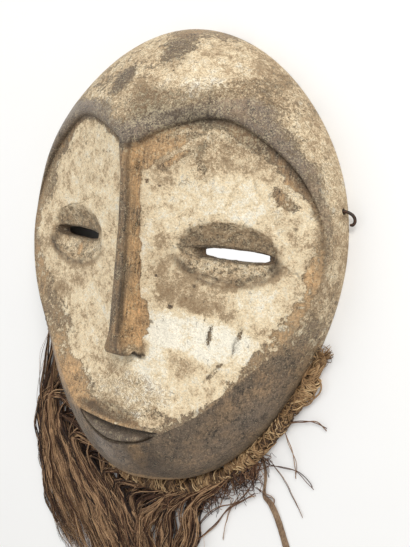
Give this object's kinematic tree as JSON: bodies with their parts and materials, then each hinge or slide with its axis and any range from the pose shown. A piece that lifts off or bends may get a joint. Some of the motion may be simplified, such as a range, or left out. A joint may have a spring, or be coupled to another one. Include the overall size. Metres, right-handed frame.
{
  "type": "lega mask",
  "caption": "Hollow carved wooden face mask with a heart-shaped face, slit eyes, a plaited fibre cord and a raffia beard; worn over a face or shown.",
  "frame": {"origin": "on the ground under the middle of the whole lying part, beard included", "axes": "+Z out of the face, +Y up the face towards the forehead, +X to the viewer's right"},
  "size_m": [0.2128, 0.4046, 0.0645],
  "materials": {
    "wood": "matt kaolin over dark carved wood",
    "cord_fibre": "matt plaited bast fibre",
    "raffia": "dark dry raffia, a little sheen",
    "leaf": "dry twisted leaf strip",
    "iron": "dark rusted wire"
  },
  "bodies": {
    "root": {"mask_body": "wood", "plaited_cord": "cord_fibre", "raffia_beard": "raffia", "leaf_strip": "leaf", "wire_loop": "iron"}
  },
  "joints": []
}
